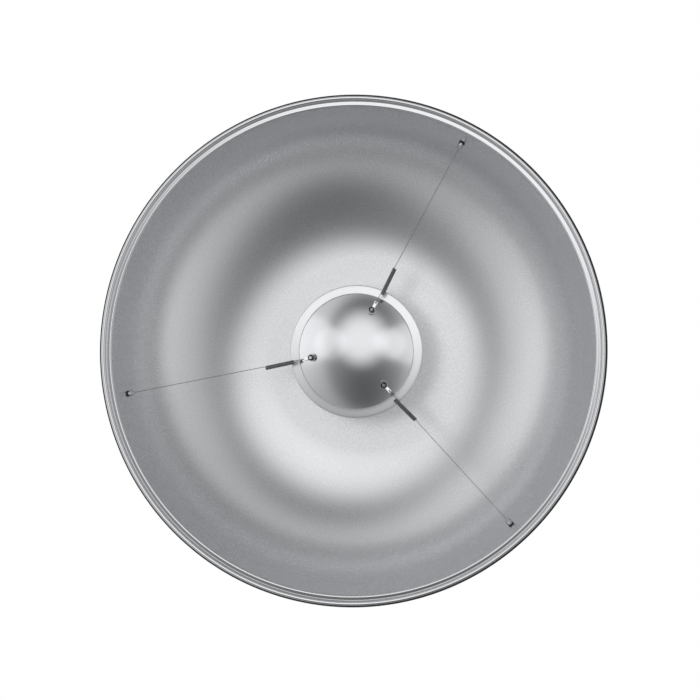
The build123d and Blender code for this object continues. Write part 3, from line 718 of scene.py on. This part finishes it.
def make_anchor(number, run):
    """Stud with a cross hole for the wire, and its washer and nut outside the bowl wall."""
    angle = atan2(run.anchor.z, run.anchor.x)
    radius = hypot(run.anchor.x, run.anchor.z)
    inward = around(-sin(radians(WALL_SLOPE)), angle, -cos(radians(WALL_SLOPE)))
    reach = ((wall_end[0] - radius) * sin(radians(WALL_SLOPE))
             + (wall_end[1] - run.anchor.y) * cos(radians(WALL_SLOPE)))
    seat = placed(run.anchor - inward * reach, inward, around(1, angle + pi / 2, 0))
    washer_seat = -BOWL_SHEET - PAINT_OUT - RUNNING_GAP / 2
    nut_seat = washer_seat - WASHER_SHEET
    thread_end = nut_seat - NUT_HEIGHT - THREAD_STAND
    top = reach + POST_TIP
    collar_top = SHEET_GAP + POST_COLLAR_HEIGHT

    def stud(turn):
        rows = [(0, thread_end)]
        rows += thread_rows(M3, thread_end + THREAD_SHOWN, thread_end, turn, THREAD_DEPTH, M3_PITCH,
                            THREAD_DEPTH)[::-1]
        rows += [(M3, SHEET_GAP), (POST_COLLAR - 0.2 * MM, SHEET_GAP), (POST_COLLAR, SHEET_GAP + 0.2 * MM),
                 (POST_COLLAR, collar_top - 0.3 * MM), (POST_COLLAR - 0.09 * MM, collar_top - 0.09 * MM),
                 (POST_COLLAR - 0.3 * MM, collar_top), (POST, collar_top)]
        rows += [(POST - POST_EDGE * (1 - cos(radians(a))), top - POST_EDGE * (1 - sin(radians(a))))
                 for a in (0, 15, 30, 45, 60, 75)]
        return rows + [(POST * 0.35, top + 0.03 * MM), (0, top + 0.05 * MM)]

    piece = mesh_object(f"anchor_stud_fine_{number}", *lathe(stud, SMALL_SEGMENTS, seat, closed=False), nickel)
    cut(piece, pin(POST_HOLE, -2 * POST, 2 * POST, placed(run.anchor, run.right, inward)))
    # The stud's collar faces take the dark plate as painted shade, standing in for the shade at the stud's
    # foot against the wall.
    piece.data.materials.append(black_plate_and_shade)
    to_seat = seat.inverted()
    for face in piece.data.polygons:
        centre = to_seat @ face.center
        if centre.z > 0 and hypot(centre.x, centre.y) > POST + 0.05 * MM:
            face.material_index = 1
    show(piece, "dish", "plated_steel", f"anchor_stud_{number}")
    washer = ring_section(NUT_BORE, WASHER_RADIUS, nut_seat, washer_seat, 0.1 * MM)
    piece = mesh_object(f"anchor_washer_fine_{number}", *lathe(washer, SMALL_SEGMENTS, seat), nickel)
    show(piece, "dish", "plated_steel", f"anchor_washer_{number}")
    body = nut(raised(seat, nut_seat - NUT_HEIGHT), NUT_FLATS, NUT_HEIGHT, NUT_BORE)
    piece = mesh_object(f"anchor_nut_fine_{number}", *body, nickel)
    show(piece, "dish", "plated_steel", f"anchor_nut_{number}")


for number in (1, 2, 3):
    run = WireRun(number)
    make_lug(number, run)
    make_wire(number, run)
    make_anchor(number, run)

# ---- rear mount -----------------------------------------------------------------------------
BORE, RING_FRONT, FLANGE_SHEET, FLANGE_RADIUS = 41.5 * MM, -21 * MM, 6 * MM, 68 * MM
SPIGOT, SPIGOT_END, BAYONET, BAYONET_START = 46 * MM, 9 * MM, 50.5 * MM, 5 * MM
BAYONET_COUNT, BAYONET_SWEEP = 3, 34
SCREW_CIRCLE, LOCK_HOLE, LOCK_DEPTH = 60 * MM, 2.6 * MM, 4 * MM
M4_HEAD, M4_CLEARANCE = 4.0 * MM, 2.2 * MM
COLLAR, COLLAR_WAIST, COLLAR_FRONT_FLANGE, COLLAR_REAR_FLANGE = 66 * MM, 54 * MM, 3.0 * MM, 3.45 * MM
GASKET_SHEET = 1.0 * MM
NECK_SCREW_Y, NECK_SCREW_TIP, NECK_SCREW_COUNT = -15 * MM, 42.5 * MM, 6
NECK_HEAD, NECK_HEAD_HEIGHT, M4_SOCKET = 3.8 * MM, 2.2 * MM, 1.4 * MM
RING_SCREW_END = -9.3 * MM
EDGE = 0.8 * MM


def bayonet_section(angle):
    """Section of the bayonet ring at an angle, with the lugs on the rear spigot."""
    share = 360 / BAYONET_COUNT
    away = abs((degrees(angle) + share / 2) % share - share / 2)
    lug = BAYONET if away < BAYONET_SWEEP / 2 else SPIGOT
    nick = 0.4 * MM if lug > SPIGOT else 0
    return [(BORE, RING_FRONT + 0.5 * MM), (BORE + 0.5 * MM, RING_FRONT),
            (NECK_RADIUS - 0.5 * MM, RING_FRONT), (NECK_RADIUS - RUNNING_GAP, RING_FRONT + 0.5 * MM),
            (NECK_RADIUS - RUNNING_GAP, -FLANGE_SHEET), (FLANGE_RADIUS - EDGE, -FLANGE_SHEET),
            (FLANGE_RADIUS, EDGE - FLANGE_SHEET), (FLANGE_RADIUS, -EDGE), (FLANGE_RADIUS - EDGE, 0),
            (SPIGOT, 0), (SPIGOT, BAYONET_START),
            (lug - nick, BAYONET_START), (lug, BAYONET_START + nick), (lug, SPIGOT_END - nick - 0.01 * MM),
            (lug - nick, SPIGOT_END), (BORE + 0.4 * MM, SPIGOT_END), (BORE, SPIGOT_END - 0.4 * MM)]


def seat_place(angle):
    """Place on the bayonet ring's seat face, its z axis to the rear."""
    return placed(around(SCREW_CIRCLE, radians(angle), 0), (0, 1, 0), (1, 0, 0))


def countersink(place):
    """Cutter for a screw's clearance hole and the cone of its head."""
    wide = M4_HEAD + 0.05 * MM
    return lathe([(0, -2 * FLANGE_SHEET), (M4_CLEARANCE, -2 * FLANGE_SHEET),
                  (M4_CLEARANCE, M4_CLEARANCE - M4_HEAD), (wide, 0.05 * MM), (wide, MM), (0, MM)],
                 SCREW_SEGMENTS, place, closed=False)


ring_places = [seat_place(angle) for angle in (45, 135, 225, 315)]
bayonet = mesh_object("bayonet_ring_turned", *lathe(bayonet_section, BOWL_SEGMENTS), turned_silver,
                      smooth_angle=30)
cut(bayonet, *[countersink(place) for place in ring_places], pin(LOCK_HOLE, -LOCK_DEPTH, MM, seat_place(180)))
show(bayonet, "dish", "turned_aluminium", "bayonet_ring")

collar_bore = NECK_RADIUS + BOWL_SHEET + PAINT_OUT + 0.02 * MM
collar_front = BASE_Y + BOWL_SHEET + GASKET_SHEET
waist_front = collar_front + COLLAR_FRONT_FLANGE
waist_rear = -FLANGE_SHEET - COLLAR_REAR_FLANGE
collar_rear = -FLANGE_SHEET - 0.02 * MM
spool = [(collar_bore, collar_front), (COLLAR, collar_front), (COLLAR, waist_front),
         (COLLAR_WAIST, waist_front), (COLLAR_WAIST, waist_rear), (COLLAR, waist_rear),
         (COLLAR, collar_rear), (collar_bore, collar_rear)]
show(mesh_object("mount_collar_spool", *lathe(rounded(spool, 0.5 * MM, 4), DISC_SEGMENTS), collar_black),
     "dish", "black_paint", "mount_collar")
gasket = ring_section(NECK_RADIUS + BOWL_SHEET + GASKET_SHEET, COLLAR - EDGE,
                      BASE_Y + BOWL_SHEET + PAINT_OUT, collar_front, 0.2 * MM)
show(mesh_object("collar_gasket_ring", *lathe(gasket, DISC_SEGMENTS), gasket_rubber),
     "dish", "soft_rubber", "collar_gasket")

neck_screws = []
for k in range(NECK_SCREW_COUNT):
    angle = 2 * pi * k / NECK_SCREW_COUNT
    place = placed(around(COLLAR_WAIST + SHEET_GAP, angle, NECK_SCREW_Y), around(1, angle, 0), (0, 1, 0))
    neck_screws.append(button_screw(place, NECK_HEAD, NECK_HEAD_HEIGHT, M4_SOCKET, M4,
                                    COLLAR_WAIST - NECK_SCREW_TIP, M4_PITCH))
show(mesh_object("neck_screw_set", *joined(*neck_screws), black_oxide), "dish", "black_screw", "neck_screws")
ring_screws = [countersunk_screw(raised(place, -RUNNING_GAP), M4_HEAD - 0.1 * MM, M4_SOCKET, M4,
                                 -RING_SCREW_END, M4_PITCH) for place in ring_places]
show(mesh_object("ring_screw_set", *joined(*ring_screws), zinc), "dish", "steel_screw", "ring_screws")

# ---- camera, light and stage ---------------------------------------------------------------
CAMERA_AZIMUTH, CAMERA_ELEVATION, CAMERA_DISTANCE = 8.4, -1.9, 10.0     # a long lens, far off
FRAME_WIDTH = 0.682          # metres across the picture at the rim
SENSOR = 36.0
SHIFT = (-0.0034, 0.001)     # of the picture, in picture widths
FLOOR_Z, FLOOR_RADIUS, FLOOR_DEPTH, FLOOR_GLOW = -0.42, 12.0, 10 * MM, 0.35


def direction(azimuth, elevation):
    """Unit vector from the object towards a place in front of it."""
    a, e = radians(azimuth), radians(elevation)
    return Vector((sin(a) * cos(e), -cos(a) * cos(e), sin(e)))


def add_camera():
    data = bpy.data.cameras.new("camera")
    camera = bpy.data.objects.new("camera", data)
    bpy.context.scene.collection.objects.link(camera)
    back = direction(CAMERA_AZIMUTH, CAMERA_ELEVATION)
    camera.location = Vector((0, rim_front, 0)) + back * CAMERA_DISTANCE
    camera.rotation_mode = "QUATERNION"
    camera.rotation_quaternion = (-back).to_track_quat("-Z", "Y")
    data.sensor_width = SENSOR
    data.lens = SENSOR * CAMERA_DISTANCE / FRAME_WIDTH
    data.shift_x, data.shift_y = SHIFT
    bpy.context.scene.camera = camera


# Soft panels that only the disc sees, each by azimuth, elevation, width, height and brightness.
DISC_PANELS = {"near_left": (-29, 8, 28, 26, 0.30), "far_left": (-50, 11, 52, 36, 0.32),
               "near_right": (22, 8, 26, 26, 0.34), "far_right": (42, 8, 52, 34, 0.40)}
PANEL_DISTANCE = 3.0


def add_disc_panels():
    seen_by = bpy.data.collections.new("disc_only")
    seen_by.objects.link(deflector)
    for name, (azimuth, elevation, wide, high, level) in DISC_PANELS.items():
        light = bpy.data.lights.new(f"disc_panel_{name}", "AREA")
        light.shape = "ELLIPSE"
        light.size = 2 * PANEL_DISTANCE * tan(radians(wide / 2))
        light.size_y = 2 * PANEL_DISTANCE * tan(radians(high / 2))
        light.energy = level * pi * pi * light.size * light.size_y / 4
        lamp = bpy.data.objects.new(light.name, light)
        bpy.context.scene.collection.objects.link(lamp)
        aim = direction(azimuth, elevation)
        lamp.location = aim * PANEL_DISTANCE
        lamp.rotation_mode = "QUATERNION"
        lamp.rotation_quaternion = aim.to_track_quat("Z", "Y")
        lamp.light_linking.receiver_collection = seen_by


# A soft glow from the bowl's base on the disc's back, where the lamp would be.
GLOW_RADIUS, GLOW_LEVEL = 90 * MM, 0.55


def add_disc_glow():
    light = bpy.data.lights.new("disc_glow", "AREA")
    light.shape = "DISK"
    light.size = 2 * GLOW_RADIUS
    light.energy = GLOW_LEVEL * pi * pi * GLOW_RADIUS ** 2
    lamp = bpy.data.objects.new(light.name, light)
    bpy.context.scene.collection.objects.link(lamp)
    lamp.location = (0, BASE_Y - MM, 0)
    lamp.rotation_euler = (radians(-90), 0, 0)
    lamp.visible_camera = lamp.visible_glossy = False
    lamp.light_linking.receiver_collection = bpy.data.collections["disc_only"]


def smooth_step(nodes, links, value, low, high):
    """0 below low, 1 above high (or the other way round), eased between them."""
    node = nodes.new("ShaderNodeMapRange")
    node.interpolation_type = "SMOOTHSTEP"
    node.inputs["From Min"].default_value, node.inputs["From Max"].default_value = low, high
    links.new(value, node.inputs["Value"])
    return node.outputs["Result"]


def maths(nodes, links, kind, first, second):
    node = nodes.new("ShaderNodeMath")
    node.operation = kind
    for socket, value in zip(node.inputs, (first, second)):
        if isinstance(value, (int, float)):
            socket.default_value = value
        else:
            links.new(value, socket)
    return node.outputs["Value"]


def mixed(nodes, links, share, first, second):
    node = nodes.new("ShaderNodeMix")
    node.data_type = "FLOAT"
    for socket, value in zip(("Factor", "A", "B"), (share, first, second)):
        if isinstance(value, float):
            node.inputs[socket].default_value = value
        else:
            links.new(value, node.inputs[socket])
    return node.outputs["Result"]


# Light by direction, in sines: a bright window in front, a little above the horizon, a dark ring round
# it that is fainter to the left and right, a softer bright ring beyond, and a dim room behind whose
# sides are bright.
WINDOW = {"aside": -0.05, "height": 0.21, "full": 0.18, "end": 0.54, "level": 1.10}
DARK = {"level": 0.12, "sideways": 0.8}
RING = {"stretch": 1.36, "start": 0.68, "full": 0.90, "fade": 0.50, "end": 0.18,
        "level": 0.53, "sideways": 0.52, "left": 0.09, "up": 0.11, "up_left": 0.20}
BEHIND = {"start": -0.02, "full": 0.06, "level": 0.08,
          "edge_start": 0.94, "edge_full": 0.99, "edge_level": 1.3}


def add_studio_air():
    """A bright window inside a dark and a soft ring in front, dim room behind, and a white backdrop."""
    world = bpy.data.worlds.new("studio")
    bpy.context.scene.world = world
    world.use_nodes = True
    nodes, links = world.node_tree.nodes, world.node_tree.links
    place = nodes.new("ShaderNodeTexCoord")
    split = nodes.new("ShaderNodeSeparateXYZ")
    links.new(place.outputs["Generated"], split.inputs["Vector"])
    x, y, z = split.outputs

    def math(kind, first, second):
        return maths(nodes, links, kind, first, second)

    def step(value, low, high):
        return smooth_step(nodes, links, value, low, high)

    def square(value):
        return math("MULTIPLY", value, value)

    def distance(first, second):
        return math("SQRT", math("ADD", square(first), square(second)), 0.0)

    across = square(x)
    from_window = distance(math("SUBTRACT", x, WINDOW["aside"]), math("SUBTRACT", z, WINDOW["height"]))
    window = math("MULTIPLY", step(from_window, WINDOW["end"], WINDOW["full"]), WINDOW["level"])
    gap = math("ADD", math("MULTIPLY", across, DARK["sideways"]), DARK["level"])
    inner = math("MAXIMUM", window, gap)
    level = math("ADD", math("MULTIPLY", square(across), RING["sideways"]), RING["level"])
    level = math("SUBTRACT", level, math("MULTIPLY", x, RING["left"]))
    level = math("ADD", level, math("MULTIPLY", z, RING["up"]))
    level = math("SUBTRACT", level, math("MULTIPLY", math("MULTIPLY", x, z), RING["up_left"]))
    outward = distance(math("MULTIPLY", x, RING["stretch"]), z)
    fade = step(math("MULTIPLY", y, -1.0), RING["end"], RING["fade"])
    ring = step(outward, RING["start"], RING["full"])
    faded = math("MULTIPLY", math("SUBTRACT", 1.0, fade), DARK["level"])
    outer = math("ADD", math("MULTIPLY", level, fade), faded)
    front = mixed(nodes, links, ring, inner, outer)
    edge = step(distance(x, z), BEHIND["edge_start"], BEHIND["edge_full"])
    behind = mixed(nodes, links, edge, BEHIND["level"], BEHIND["edge_level"])
    light = mixed(nodes, links, step(y, BEHIND["start"], BEHIND["full"]), front, behind)
    backdrop = nodes.new("ShaderNodeLightPath").outputs["Is Camera Ray"]
    links.new(mixed(nodes, links, backdrop, light, 1.0), nodes["Background"].inputs["Strength"])
    nodes["Background"].inputs["Color"].default_value = (1, 1, 1, 1)


def add_floor():
    """Pale floor below the object; it stays out of the bowl's reflections."""
    slab = lathe([(0, 0), (FLOOR_RADIUS, 0), (FLOOR_RADIUS, -FLOOR_DEPTH), (0, -FLOOR_DEPTH)], NUT_SEGMENTS,
                 Matrix.Translation((0, 0, FLOOR_Z)), closed=False)
    pale = metal("pale_floor", (0.85, 0.85, 0.85), (0.87, 0.87, 0.87), (0.75, 0.85), 0.02, 0.00001,
                 metallic=0.0)
    pale.node_tree.nodes["Principled BSDF"].inputs["Emission Strength"].default_value = FLOOR_GLOW
    floor = mesh_object("floor", *slab, pale)
    floor.visible_glossy = floor.visible_diffuse = floor.visible_shadow = False


add_camera()
add_studio_air()
add_disc_panels()
add_disc_glow()
add_floor()
bpy.context.scene.view_settings.view_transform = "Standard"
